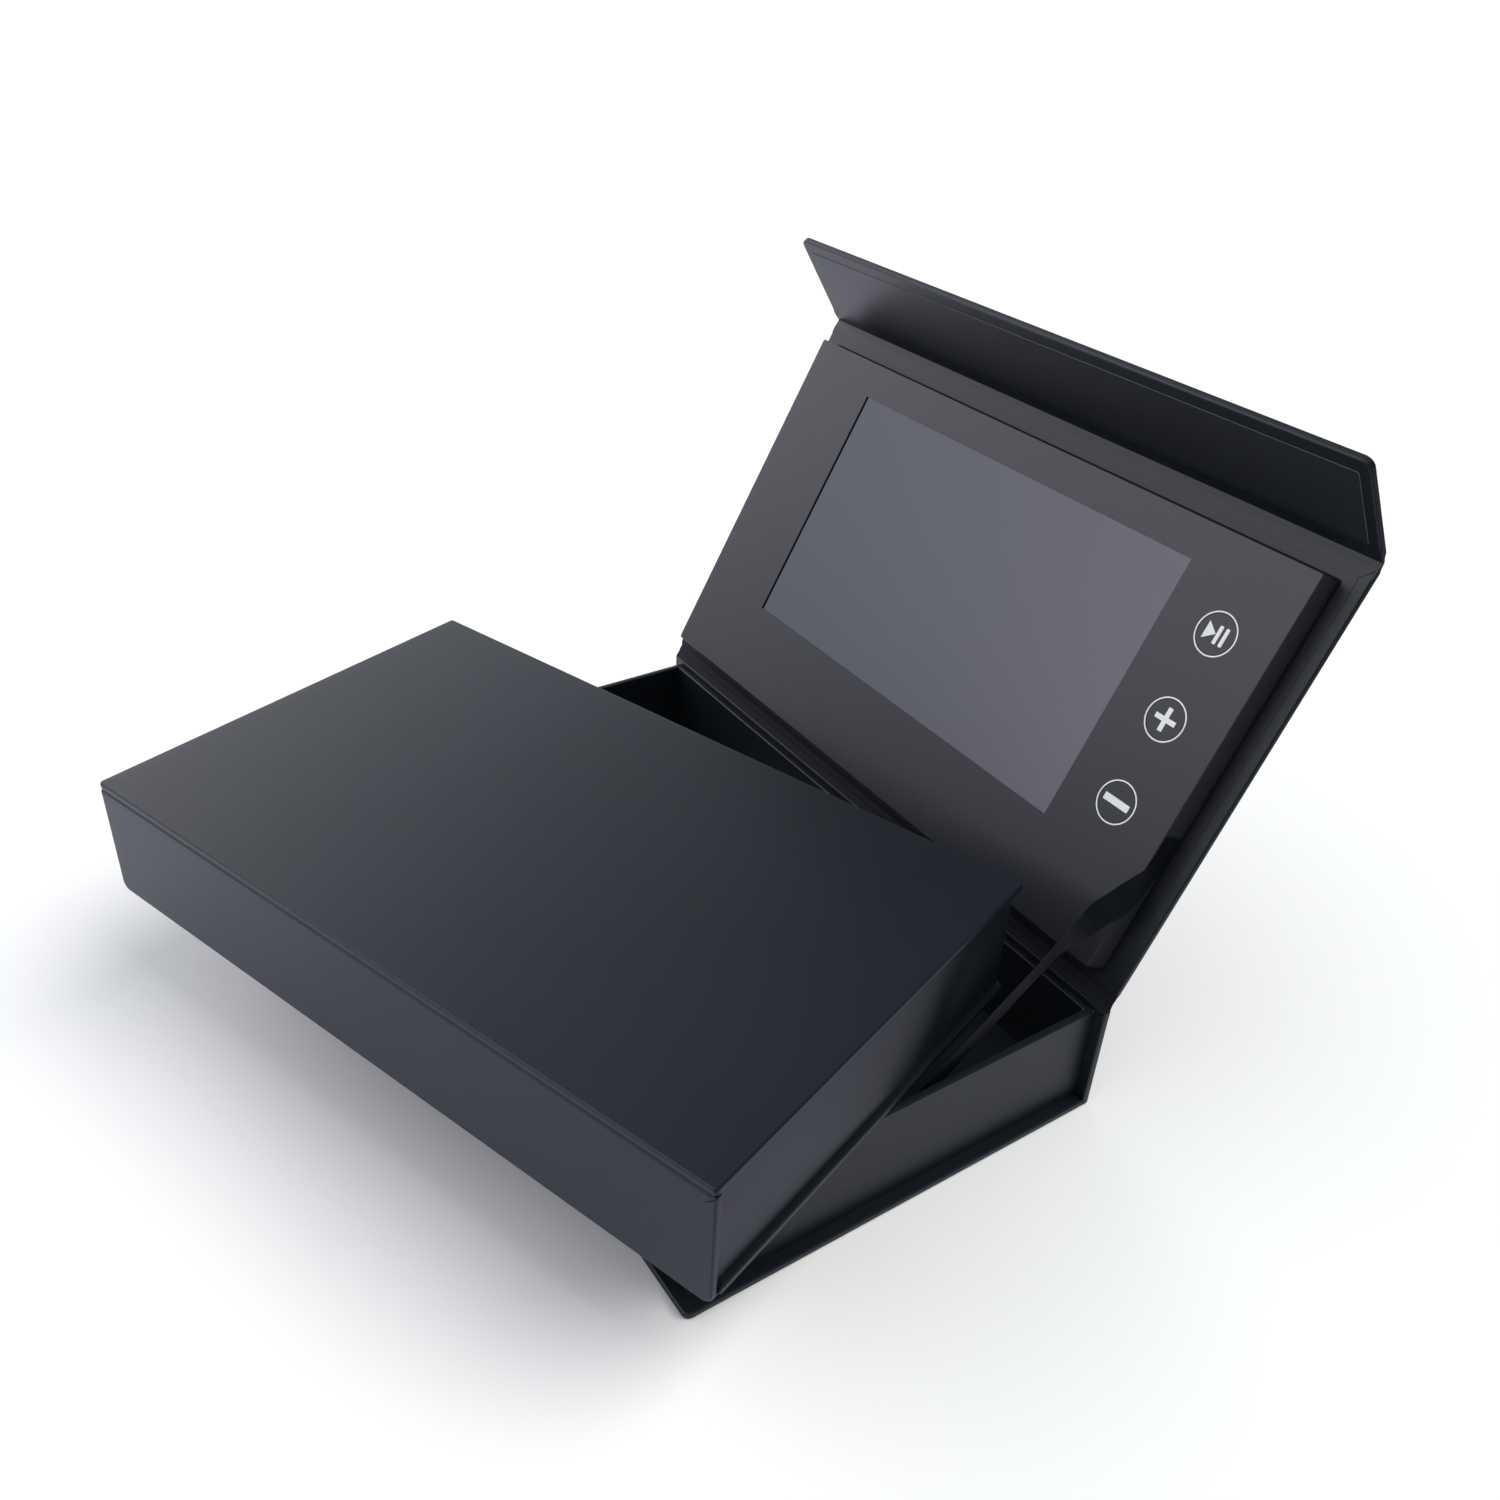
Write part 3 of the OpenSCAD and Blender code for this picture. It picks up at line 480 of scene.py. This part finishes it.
groove = paper_fold("box_groove_paper", [(1.0, 0.9, 0.5), (2.2, 0.85, 0.4), (3.1, 0.6, 0.25), (4.0, 0.85, 0.4),
                                         (5.2, 1.0, 0.5)], BOX_W - 1.2, IN_BOX @ shift(BOX_W / 2, 0, 0))
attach(groove, "inner_box")
seam = paper_fold("box_seam_paper", [(0.9, 35.6, 0.3), (0.85, 36.9, 0.3), (0.62, 37.5, 0.22), (0.62, 38.0, 0.22),
                                     (0.85, 38.6, 0.3), (0.9, 39.6, 0.3)], BOX_W - 1.6,
                  IN_BOX @ shift(BOX_W / 2, 0, 0))
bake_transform(seam)

# %% [markdown]
# The panel is a shallow tray turned over: a face card with a window for the screen and three round holes, wrapped
# in the same paper down its sides. A solid block is softened at its edges, and a Boolean modifier takes out the
# hollow, the window and the holes. A modifier is right here, because round holes in a flat face are awkward to
# cut with edge loops.

# %% Panel
PANEL_W, PANEL_D, PANEL_T = 229.0, 128.4, 9.0
PANEL_FOOT = 6.8
WINDOW = (-78.5, 36.3, 154.4, 87.0)  # left side, foot, width and height
BUTTON_X, BUTTON_S, BUTTON_PITCH, BUTTON_HOLE = 95.3, 79.8, 27.9, 6.3
SOCKET_S, SOCKET_N, SOCKET_W, SOCKET_H = 45.35, 2.1, 7.7, 2.8
THROUGH = 4  # height of a cutter that has to go through the face
# Width of the painted shadow line round the panel, in millimetres.
SHADOW_LINE_W = 0.8
FACE = BOARD / 2 + PANEL_T
ON_FACE = IN_LID @ shift(0, 0, FACE)


def temporary(name, bm):
    mesh = bpy.data.meshes.new(name)
    bm.to_mesh(mesh)
    bm.free()
    made = bpy.data.objects.new(name, mesh)
    bpy.context.scene.collection.objects.link(made)
    return made


def carve(bm, cutters):
    """The mesh with each cutter's shape taken out of it by a Boolean modifier."""
    body, tools = temporary("carved", bm), [temporary("cutter", c) for c in cutters]
    for tool in tools:
        modifier = body.modifiers.new("Cut", "BOOLEAN")
        modifier.operation, modifier.object, modifier.solver = "DIFFERENCE", tool, "EXACT"
    result = bmesh.new()
    result.from_object(body, bpy.context.evaluated_depsgraph_get())
    for made in (body, *tools):
        bpy.data.objects.remove(made)
    return result


def cutter_box(x, y, z, width, depth, height):
    bm = block(width, depth, height)
    bmesh.ops.translate(bm, vec=(x, y, z), verts=bm.verts)
    return bm


def cutter_disc(x, y, z, radius, height):
    bm = bmesh.new()
    bmesh.ops.create_cone(bm, cap_ends=True, segments=64, radius1=radius, radius2=radius, depth=height)
    bmesh.ops.translate(bm, vec=(x, y, z + height / 2), verts=bm.verts)
    return bm


panel = soft_board((PANEL_W, PANEL_D, PANEL_T), (1.6, 0.7), rim=0.4)
bmesh.ops.translate(panel, vec=(-PANEL_W / 2, PANEL_FOOT, BOARD / 2), verts=panel.verts)
hollow = cutter_box(-PANEL_W / 2 + PAPER, PANEL_FOOT + PAPER, 0, PANEL_W - 2 * PAPER, PANEL_D - 2 * PAPER,
                    FACE - PAPER)
window = cutter_box(WINDOW[0], WINDOW[1], FACE - THROUGH / 2, WINDOW[2], WINDOW[3], THROUGH)
holes = [cutter_disc(BUTTON_X, BUTTON_S + k * BUTTON_PITCH, FACE - THROUGH / 2, BUTTON_HOLE, THROUGH)
         for k in (-1, 0, 1)]
socket = cutter_box(-PANEL_W / 2 - 1, SOCKET_S, SOCKET_N, 3, SOCKET_W, SOCKET_H)
panel = carve(panel, [hollow, window, *holes, socket])
finish_piece("panel_skin", panel, "lid", panel_paper, IN_LID, ["panel_wrap"])
# A dark sheet just wider than the panel, under its edges: a painted shadow round the panel's foot.
shadow_line_sheet = soft_board((PANEL_W + 2 * SHADOW_LINE_W, PANEL_D + 2 * SHADOW_LINE_W, 0.3), (1.6, 0.9), rim=0.1, rim_steps=2)
finish_piece("panel_painted_shadow_line", shadow_line_sheet, "lid", painted_shadow_line,
             IN_LID @ shift(-PANEL_W / 2 - SHADOW_LINE_W, PANEL_FOOT - SHADOW_LINE_W, BOARD / 2 + 0.14))

# %% [markdown]
# The screen is a switched-off liquid crystal display under a plain cover glass. Its face is a slab of glass with
# a black printed border, and the display area inside is a touch lighter, because the polariser behind the glass
# sends back some of the light of the room. The area is not quite in the middle of the window, so a black line
# shows along the left.

# %% Screen materials
# A black deeper than the paper, under a face with a soft gloss, so the display looks framed in ink
border, tree, shader = start_material("Black printed screen border", Base_Color=linear("#08090b"), IOR=1.5)
feed(tree, shader, {"Roughness": ramp(tree, noise(tree, object_place(tree), 3, 3.0), 0.0, 1.0, 0.25, 0.35)})

# Mid grey with a painted reflection that lightens it to the right, the look of a screen that is off
display, tree, shader = start_material("Liquid crystal display with matt polariser", IOR=1.5)
place = object_place(tree)
across = add(tree, "ShaderNodeSeparateXYZ", {0: place})
# Painted reflection: the colour of the display lightens from left to right.
painted_reflection_ramp = ramp(tree, across.outputs["X"], -0.08, 0.08)
feed(tree, shader, {
    "Base Color": blend_colours(tree, painted_reflection_ramp, "#4e5157", "#6a6a6e"),
    "Roughness": ramp(tree, noise(tree, place, 0.4, 2.0), 0.0, 1.0, 0.42, 0.52)})
print("screen materials:", border.name, "/", display.name)

# %% [markdown]
# The glass lies under the card and reaches past the window on all sides. The display area is a slab of its own that
# stands in the window, and the gap of 0.95 mm at its left is the black line.

# %% Screen
GLASS_T = 1.1
GAP_LEFT, GAP_FOOT = 0.95, 0.05
glass = soft_board((164.8, 99.4, GLASS_T), rim=0.15, rim_steps=2)
finish_piece("screen_glass", glass, "lid", border, IN_LID @ shift(-83.7, 30.1, 8.0), ["lcd_glass"])
active = soft_board((WINDOW[2] - 1.0, WINDOW[3] - 0.1, GLASS_T), (0.1, 0.1), rim=0.04, rim_steps=2)
finish_piece("screen_display", active, "lid", display,
             IN_LID @ shift(WINDOW[0] + GAP_LEFT, WINDOW[1] + GAP_FOOT, 8.98))

# %% [markdown]
# The signs are screen printed: white ink that stands on the paper by a few hundredths of a millimetre. A ring
# round each button stays on the panel, and the sign inside moves with the button when it is pressed. They are
# the plain signs for play and pause, louder and quieter.

# %% Printed signs
# A clean white with a slightly chalky grain, which stands out from the dark paper
ink, tree, shader = start_material("White screen printing ink", Roughness=0.5, IOR=1.5)
mottle = noise(tree, object_place(tree), 0.8, 3.0)
feed(tree, shader, {"Base Color": blend_colours(tree, mottle, "#eeeeec", "#fbfbfa")})
INK_T = 0.05
SIGN_LIFT, RING_LIFT = 0.005, 0.04  # a ring grows downwards when it is made solid, so it starts higher


def on_button(k, lift):
    """The middle of button k, counted from the one for plus, at a height over the panel."""
    return ON_FACE @ shift(BUTTON_X, BUTTON_S + k * BUTTON_PITCH, lift)


def printed(name, body, shapes, k):
    """Flat shapes of ink, each a list of outline points round the middle of a button."""
    bm = bmesh.new()
    for outline in shapes:
        face = bm.faces.new([bm.verts.new((x, y, 0)) for x, y in outline])
        pushed = bmesh.ops.extrude_face_region(bm, geom=[face])
        top = [v for v in pushed["geom"] if isinstance(v, bmesh.types.BMVert)]
        bmesh.ops.translate(bm, vec=(0, 0, INK_T), verts=top)
    return finish_piece(name, bm, body, ink, on_button(k, SIGN_LIFT))


def bar(x0, y0, x1, y1, corner):
    """Outline of a bar with rounded corners, each an arc of five points."""
    points = []
    for cx, cy, start in ((x1, y1, 0), (x0, y1, 90), (x0, y0, 180), (x1, y0, 270)):
        mx, my = cx - math.copysign(corner, cx - (x0 + x1) / 2), cy - math.copysign(corner, cy - (y0 + y1) / 2)
        for step in range(5):
            a = math.radians(start + 22.5 * step)
            points.append((mx + corner * math.cos(a), my + corner * math.sin(a)))
    return points


def ring(name, k, outer=6.78, inner=6.34):
    bm = bmesh.new()
    bmesh.ops.create_circle(bm, segments=96, radius=inner)
    edges = list(bm.edges)
    wide = bmesh.ops.extrude_edge_only(bm, edges=edges)
    rim = [v for v in wide["geom"] if isinstance(v, bmesh.types.BMVert)]
    bmesh.ops.scale(bm, vec=(outer / inner, outer / inner, 1), verts=rim)
    bmesh.ops.solidify(bm, geom=list(bm.faces), thickness=INK_T)
    return finish_piece(name, bm, "lid", ink, on_button(k, RING_LIFT))


for sign, k in (("play", 1), ("plus", 0), ("minus", -1)):
    ring(sign + "_ring", k)
printed("play_sign", "play", [[(-3.7, -2.75), (-0.05, 0), (-3.7, 2.75)], bar(0.1, -2.85, 1.3, 2.85, 0.4),
                              bar(2.3, -2.85, 3.5, 2.85, 0.4)], 1)
plus_arm = [(0.78, 0.78), (0.78, 3.7), (-0.78, 3.7), (-0.78, 0.78), (-3.7, 0.78), (-3.7, -0.78), (-0.78, -0.78),
            (-0.78, -3.7), (0.78, -3.7), (0.78, -0.78), (3.7, -0.78), (3.7, 0.78)]
printed("plus_sign", "plus", [plus_arm], 0)
printed("minus_sign", "minus", [bar(-4.7, -1.12, 4.7, 1.12, 0.2)], -1)

# %% [markdown]
# A ribbon keeps the lid from falling back. It is woven satin, glued beside the panel and inside the tray, and it
# turns over the panel's edge and twists on its way down. It is a strip along a smooth path with a width
# direction at every point, made for the lid where it stands.

# %% Ribbon material
# Blue black with fine ribs across the strip and a soft shine on its bends
satin, tree, shader = start_material("Black woven satin ribbon", Roughness=0.45, IOR=1.45)
thread = add(tree, "ShaderNodeUVMap", uv_map="along").outputs[0]
weave = add(tree, "ShaderNodeTexWave", {"Vector": thread, "Scale": 1.0, "Distortion": 0.3},
            bands_direction="X").outputs["Fac"]
bump = add(tree, "ShaderNodeBump", {"Height": weave, "Strength": 0.3, "Distance": 0.03 * MM})
feed(tree, shader, {"Base Color": blend_colours(tree, weave, "#11151d", "#1b2029"), "Normal": bump.outputs[0]})
print("ribbon material:", satin.name)

# %% [markdown]
# The route was read off the photograph, from the side of the panel down into the tray. Each row gives a place in
# millimetres and the direction of the strip's width there. Five points across make the strip, and the distance
# along it, in half millimetres, drives the weave.

# %% Ribbon
RIBBON_W, RIBBON_T, RIB = 8.0, 0.4, 0.5
route = [(Vector(p), Vector(w)) for p, w in (
    ((115.0, 92.8, 89.8), (0.00, -0.88, 0.48)),
    ((115.0, 89.0, 82.8), (0.00, -0.78, 0.62)),
    ((115.1, 84.0, 78.7), (-0.10, -0.52, 0.85)),
    ((114.8, 74.3, 73.7), (-0.66, -0.29, 0.70)),
    ((113.7, 68.8, 71.2), (-0.55, -0.34, 0.77)),
    ((113.4, 63.1, 67.9), (-0.24, -0.46, 0.85)),
    ((112.8, 55.7, 63.8), (0.10, -0.51, 0.85)),
    ((113.2, 48.5, 59.2), (0.18, -0.52, 0.83)),
    ((113.5, 41.5, 54.7), (0.18, -0.52, 0.83)),
    ((113.9, 35.1, 50.6), (0.18, -0.53, 0.83)),
    ((114.5, 22.0, 42.0), (0.17, -0.52, 0.84)),
    ((115.4, 4.0, 30.4), (0.10, -0.52, 0.85)),
    ((115.9, -10.0, 22.0), (0.02, -0.50, 0.86)),
    ((115.95, -24.0, 16.5), (0.00, -0.30, 0.95)),
)]
middle = smooth_path([tuple(p) for p, w in route], 6)
widths = [w.normalized() for w in smooth_path([tuple(w) for p, w in route], 6)]
bm = bmesh.new()
rows = []
for p, w in zip(middle, widths):
    rows.append([bm.verts.new(p + w * RIBBON_W * (j / 4 - 0.5)) for j in range(5)])
uv = bm.loops.layers.uv.new("along")
run = [0.0]
for a, b in zip(middle, middle[1:]):
    run.append(run[-1] + (b - a).length)
for i in range(len(rows) - 1):
    for j in range(4):
        quad = bm.faces.new((rows[i][j], rows[i][j + 1], rows[i + 1][j + 1], rows[i + 1][j]))
        for loop, (r, c) in zip(quad.loops, ((i, j), (i, j + 1), (i + 1, j + 1), (i + 1, j))):
            loop[uv].uv = (run[r] / RIB, c)
bmesh.ops.solidify(bm, geom=list(bm.faces), thickness=RIBBON_T)
ribbon = finish_piece("stay_ribbon", bm, None, satin, replaced=["stay_ribbon_upper", "stay_ribbon_lower"])
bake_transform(ribbon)
print("ribbon length", round(run[-1], 1), "mm")

# %% [markdown]
# The CAD nodes that no piece replaces keep their own mesh, and each gets the finish of what it is.

# %% Finishes of the carried-over nodes
finishes = {
    "panel_core": black_card, "panel_card": black_card, "backlight_pads": foam, "lcd_backlight": stamped,
    "main_board": circuit, "key_board": circuit, "usb_board": circuit, "battery": foil, "battery_lead": red_wire,
    "speaker": moulded, "key_switches": moulded, "speaker_cable": flat_cable, "key_cable": flat_cable,
    "usb_cable": flat_cable, "display_cable": polyimide, "usb_socket": stamped, "reed_switch": reed_glass,
    "play_button": panel_paper, "plus_button": panel_paper, "minus_button": panel_paper,
    "flap_magnets": magnet_metal, "catch_discs": magnet_metal, "switch_magnet": magnet_metal,
}
for name, node in nodes.items():
    if not node.data.materials:
        node.data.materials.append(None)
    for i in range(len(node.data.materials)):
        node.data.materials[i] = finishes.get(name, grey_board)
print("CAD nodes with a finish:", len(nodes))

# %% [markdown]
# The object stands on a white sweep, as in a product photograph. The paper of the sweep is white by its colour
# alone, and the light reaches it evenly, so it renders white and still keeps a soft shadow. The glossy faces of the
# object see something else: a light grey floor with painted shade that darkens it to the right.

# %% Floor
FLOOR_HALF, FLOOR_BELOW = 6, 0.0002  # in metres
bm = bmesh.new()
bmesh.ops.create_grid(bm, x_segments=1, y_segments=1, size=FLOOR_HALF)
bmesh.ops.translate(bm, vec=(0, 0, -FLOOR_BELOW), verts=bm.verts)
mesh = bpy.data.meshes.new("floor")
bm.to_mesh(mesh)
bm.free()
floor = bpy.data.objects.new("floor", mesh)
bpy.context.scene.collection.objects.link(floor)
# Warm white without gloss, so the black box stands in clear outline over its shadow
sweep = bpy.data.materials.new("White paper sweep")
sweep.use_nodes = True
tree = sweep.node_tree
tree.nodes.clear()
paper_white = add(tree, "ShaderNodeBsdfDiffuse", {"Color": linear("#fbfaf6")})
# Painted shade for glossy rays only: the floor they mirror is grey and darker to the right.
across = add(tree, "ShaderNodeSeparateXYZ", {0: object_place(tree)})
reflected_floor_shade = add(tree, "ShaderNodeValToRGB", {"Fac": ramp(tree, across.outputs["X"], -0.12, 0.24)})
reflected_floor_shade.color_ramp.elements[0].color, reflected_floor_shade.color_ramp.elements[1].color = linear("#f6f5fd"), linear("#5e5e66")
for position in (0.3, 0.78):
    reflected_floor_shade.color_ramp.elements.new(position).color = linear("#cdccd8")
shaded_floor_in_reflections = add(tree, "ShaderNodeBsdfDiffuse", {"Color": reflected_floor_shade.outputs[0]})
mirrored = add(tree, "ShaderNodeLightPath").outputs["Is Glossy Ray"]
matt = add(tree, "ShaderNodeMixShader", {0: mirrored, 1: paper_white.outputs[0], 2: shaded_floor_in_reflections.outputs[0]})
add(tree, "ShaderNodeOutputMaterial", {"Surface": matt.outputs[0]})
mesh.materials.append(sweep)
print("floor", 2 * FLOOR_HALF, "m wide")

# %% [markdown]
# A matt black surface shows little but what it mirrors, so the room matters more than the lamps. The half of the
# room in front of the box has pale walls, the half behind it is dim, and a bright window lies to the left, low down.
# The brightness of all of it grows from the floor up to head height and falls off again under the ceiling, and one
# side of the room, away from the corner direction below, stays almost dark. Surfaces that mirror the window turn
# grey and those that mirror the back of the room stay black, which is what the photograph shows on the lid of the
# inner box. The camera itself sees a plain white background. A soft lamp high up behind the box gives the shadow.
# It isn't mirrored.

# %% World and lamps
WINDOW_WAY = (-0.927, 0.056, -0.371)  # from the box to the window
CORNER_WAY = (-0.5, 0.15, 1.0)  # from the box to the lit upper corner
LAMP_FROM = (0.35, 0.45, 0.82)
world = bpy.data.worlds.new("Studio")
bpy.context.scene.world = world
world.use_nodes = True
tree = world.node_tree
tree.nodes.clear()
towards = add(tree, "ShaderNodeTexCoord").outputs["Generated"]
axes = add(tree, "ShaderNodeSeparateXYZ", {0: towards}).outputs


def facing(way):
    """How far a ray of the room runs along the given direction."""
    return add(tree, "ShaderNodeVectorMath", {0: towards, 1: way}, operation="DOT_PRODUCT").outputs["Value"]


walls = ramp(tree, axes["Y"], -0.12, 0.20, 2.1, 0.27)
glow = ramp(tree, facing(WINDOW_WAY), 0.52, 1.0, 0.0, 6.0, interpolation_type="SMOOTHSTEP")
rising = ramp(tree, axes["Z"], 0.0, 0.45, 0.2, 1.0)
falling = ramp(tree, axes["Z"], 0.60, 0.85, 1.0, 0.35, interpolation_type="SMOOTHSTEP")
leaving = ramp(tree, facing(CORNER_WAY), 0.28, 0.41, 0.1, 1.0)
level = add(tree, "ShaderNodeMath", {0: walls, 1: glow}, operation="ADD").outputs[0]
for factor in (rising, falling, leaving):
    level = add(tree, "ShaderNodeMath", {0: level, 1: factor}, operation="MULTIPLY").outputs[0]
hue = blend_colours(tree, ramp(tree, level, 0.2, 1.6), "#dff2ff", "#f7f5ff")
room = add(tree, "ShaderNodeBackground", {"Color": hue, "Strength": level})
backdrop = add(tree, "ShaderNodeBackground", {"Color": linear("#fbfbfb"), "Strength": 1.0})
seen = add(tree, "ShaderNodeLightPath").outputs["Is Camera Ray"]
shown = add(tree, "ShaderNodeMixShader", {0: seen, 1: room.outputs[0], 2: backdrop.outputs[0]})
add(tree, "ShaderNodeOutputWorld", {"Surface": shown.outputs[0]})

sun = bpy.data.lights.new("window_light", "SUN")
sun.energy, sun.angle = 2.35, math.radians(50)
window_light = bpy.data.objects.new("window_light", sun)
window_light.rotation_euler = Vector(LAMP_FROM).to_track_quat("Z", "Y").to_euler()
window_light.visible_glossy = False
bpy.context.scene.collection.objects.link(window_light)
print("lamp", sun.energy, "W/m2 over", round(math.degrees(sun.angle)), "degrees, room with", len(tree.nodes), "nodes")

# %% [markdown]
# The camera stands where the photograph was taken. Its place, its direction and its focal length were found by
# fitting the corners of the box to the picture: about 34 mm on full frame film, close to the object.

# %% Camera
FOCAL_PX, PHOTO_PX, FILM = 1397.1, 1500, 36
camera = bpy.data.cameras.new("camera")
camera.sensor_width, camera.lens = FILM, FOCAL_PX * FILM / PHOTO_PX
camera.clip_start, camera.clip_end = 0.01, 50
viewer = bpy.data.objects.new("camera", camera)
bpy.context.scene.collection.objects.link(viewer)
look, right = Vector((-0.6833, 0.4853, -0.5455)).normalized(), Vector((0.5525, 0.8321, 0.0482))
right = (right - look * right.dot(look)).normalized()
above = right.cross(look)
turned = Matrix((right, above, -look)).transposed()
viewer.matrix_world = Matrix.Translation((0.3085, -0.1951, 0.3229)) @ turned.to_4x4()
bpy.context.scene.camera = viewer
print("camera lens", round(camera.lens, 2), "mm")

# %% [markdown]
# The Standard view shows the colours as they were picked.

bpy.context.scene.view_settings.view_transform = "Standard"
